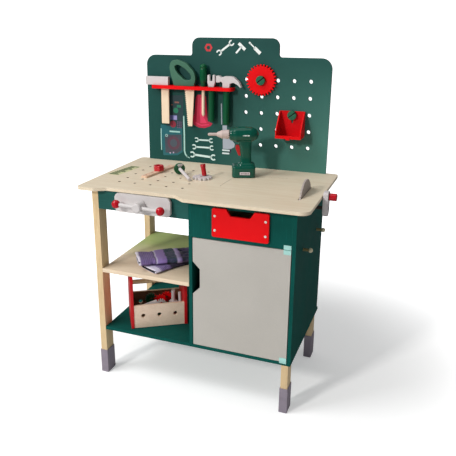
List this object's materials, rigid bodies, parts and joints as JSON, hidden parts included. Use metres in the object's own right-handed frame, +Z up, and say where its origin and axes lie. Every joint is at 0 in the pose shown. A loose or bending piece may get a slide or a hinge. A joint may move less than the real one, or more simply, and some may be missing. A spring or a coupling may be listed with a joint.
{
  "type": "toy tool bench",
  "caption": "Child's wooden tool bench with pegboard, tool rack, vice, cranked bench saw, drawer, cupboard door, open shelves and loose toy tools.",
  "frame": {"origin": "on the floor, under the middle of the whole bench's outer box", "axes": "+Z up; -Y is the front, where the drawer and door face; +X is to the right seen from the front"},
  "size_m": [0.707, 0.441, 1.005],
  "materials": {
    "pale_wood": "clear lacquered beech ply",
    "leg_wood": "smooth sanded pine",
    "green_wood": "satin green paint on fibreboard",
    "door_grey": "satin warm grey paint",
    "red_wood": "satin red paint",
    "tool_grey": "satin pale grey paint",
    "tool_green": "satin dark green paint",
    "shoe_grey": "fine-textured grey plastic",
    "leaf_blue": "pale turquoise moulded plastic",
    "drill_green": "glossy moulded green plastic",
    "chuck_grey": "light grey plastic",
    "trigger_red": "glossy red plastic",
    "screw_steel": "zinc-plated",
    "knit": "knitted cotton with coloured bands"
  },
  "bodies": {
    "bench": {"worktop": "pale_wood", "left_legs": "leg_wood", "right_legs": "leg_wood", "foot_sleeves": "shoe_grey", "bottom_board": "green_wood", "middle_shelf": "pale_wood", "cabinet_divider": "green_wood", "cabinet_side": "green_wood", "cabinet_back": "green_wood", "front_apron": "green_wood", "rear_aprons": "pale_wood", "board_battens": "pale_wood", "frame_screws": "screw_steel", "pegboard": "green_wood", "tool_rack": "red_wood", "board_bolts": "tool_green", "drawer_surround": "green_wood", "frame_hinge_leaves": "leaf_blue", "drawer_runners": "pale_wood", "vice_nut": "tool_grey", "side_pegs": "pale_wood"},
    "cupboard_door": {"door": "door_grey", "door_hinge_leaves": "leaf_blue"},
    "drawer": {"drawer_front": "red_wood", "drawer_tray": "pale_wood", "drawer_screws": "screw_steel"},
    "vice": {"vice_jaw": "tool_grey", "vice_guides": "pale_wood"},
    "vice_spindle": {"vice_screw": "tool_grey"},
    "vice_bar": {"vice_handle": "tool_grey", "vice_handle_balls": "red_wood"},
    "bench_saw": {"bench_saw_blade": "tool_grey", "saw_axle": "tool_grey", "crank_arm": "tool_grey"},
    "knob": {"crank_knob": "red_wood"},
    "gear": {"gear_wheel": "red_wood"},
    "bin": {"hanging_bin": "red_wood"},
    "try_square": {"try_square_stock": "tool_grey", "try_square_rule": "pale_wood"},
    "hand_saw": {"hand_saw_handle": "tool_green", "hand_saw_blade": "pale_wood"},
    "screwdriver": {"screwdriver_handle": "tool_green", "screwdriver_shaft": "pale_wood"},
    "wrench": {"wrench_head": "tool_grey", "wrench_handle": "tool_green"},
    "hammer": {"hammer_head": "tool_grey", "hammer_handle": "tool_green"},
    "drill": {"drill_shells": "drill_green"},
    "chuck": {"drill_chuck": "chuck_grey"},
    "trigger": {"drill_trigger": "trigger_red"},
    "toolbox": {"toolbox_ends": "red_wood", "toolbox_boards": "pale_wood", "toolbox_handle": "pale_wood", "toolbox_contents": "tool_green"},
    "gloves": {"work_gloves": "knit"},
    "strip": {"perforated_strip": "pale_wood"},
    "strip_top_nut": {"strip_nut": "red_wood"},
    "loose_disc_bolt": {"disc_bolt": "tool_green"},
    "loose_wheel": {"spur_wheel": "tool_grey"},
    "loose_red_bolt": {"red_bolt": "red_wood"}
  },
  "joints": [
    {"name": "door_hinge", "type": "hinge", "parent": "bench", "child": "cupboard_door", "pos_m": [0.2585, -0.1665, 0.327], "axis": [0, 0, 1], "range_deg": [0, 110]},
    {"name": "drawer_slide", "type": "slide", "parent": "bench", "child": "drawer", "axis": [0, -1, 0], "range_m": [0, 0.15]},
    {"name": "vice_travel", "type": "slide", "parent": "bench", "child": "vice", "axis": [0, -1, 0], "range_m": [0, 0.04]},
    {"name": "vice_turn", "type": "hinge", "parent": "vice", "child": "vice_spindle", "pos_m": [-0.1525, -0.2025, 0.571], "axis": [0, -1, 0], "range_deg": [0, 1440]},
    {"name": "vice_bar_slide", "type": "slide", "parent": "vice_spindle", "child": "vice_bar", "axis": [0.9992, 0, -0.0401], "range_m": [-0.038, 0.038]},
    {"name": "saw_spin", "type": "hinge", "parent": "bench", "child": "bench_saw", "pos_m": [0.2805, -0.0295, 0.572], "axis": [1, 0, 0], "continuous": true},
    {"name": "knob_spin", "type": "hinge", "parent": "bench_saw", "child": "knob", "pos_m": [0.3405, -0.0295, 0.605], "axis": [1, 0, 0], "continuous": true},
    {"name": "gear_spin", "type": "hinge", "parent": "bench", "child": "gear", "pos_m": [0.0685, 0.1955, 0.883], "axis": [0, -1, 0], "continuous": true},
    {"name": "bin_swing", "type": "hinge", "parent": "bench", "child": "bin", "pos_m": [0.1685, 0.198, 0.783], "axis": [0, -1, 0], "range_deg": [-10, 10]},
    {"name": "try_square_lift", "type": "slide", "parent": "bench", "child": "try_square", "axis": [0, 0, 1], "range_m": [0, 0.13]},
    {"name": "hand_saw_lift", "type": "slide", "parent": "bench", "child": "hand_saw", "axis": [0, 0, 1], "range_m": [0, 0.135]},
    {"name": "screwdriver_lift", "type": "slide", "parent": "bench", "child": "screwdriver", "axis": [0, 0, 1], "range_m": [0, 0.1]},
    {"name": "wrench_lift", "type": "slide", "parent": "bench", "child": "wrench", "axis": [0, 0, 1], "range_m": [0, 0.115]},
    {"name": "hammer_lift", "type": "slide", "parent": "bench", "child": "hammer", "axis": [0, 0, 1], "range_m": [0, 0.12]},
    {"name": "drill_lift", "type": "slide", "parent": "bench", "child": "drill", "axis": [0, 0, 1], "range_m": [0, 0.08]},
    {"name": "chuck_spin", "type": "hinge", "parent": "drill", "child": "chuck", "pos_m": [0.01005, 0.06702, 0.7361], "axis": [0.9336, 0.3584, 0], "continuous": true},
    {"name": "trigger_press", "type": "slide", "parent": "drill", "child": "trigger", "axis": [0.9336, 0.3584, 0], "range_m": [0, 0.003], "stiffness_N_per_m": 150},
    {"name": "toolbox_slide", "type": "slide", "parent": "bench", "child": "toolbox", "axis": [0, -1, 0], "range_m": [0, 0.25]},
    {"name": "gloves_slide", "type": "slide", "parent": "bench", "child": "gloves", "axis": [0, -1, 0], "range_m": [0, 0.25]},
    {"name": "strip_lift", "type": "slide", "parent": "bench", "child": "strip", "axis": [0, 0, 1], "range_m": [0, 0.06]},
    {"name": "strip_nut_lift", "type": "slide", "parent": "strip", "child": "strip_top_nut", "axis": [0, 0, 1], "range_m": [0, 0.04]},
    {"name": "disc_bolt_lift", "type": "slide", "parent": "bench", "child": "loose_disc_bolt", "axis": [0, 0, 1], "range_m": [0, 0.06]},
    {"name": "wheel_lift", "type": "slide", "parent": "bench", "child": "loose_wheel", "axis": [0, 0, 1], "range_m": [0, 0.06]},
    {"name": "red_bolt_lift", "type": "slide", "parent": "loose_wheel", "child": "loose_red_bolt", "axis": [0, 0, 1], "range_m": [0, 0.04]}
  ],
  "couplings": [
    {"joint": "vice_travel", "follows": "vice_turn", "m_per_rad": 0.0015915}
  ]
}
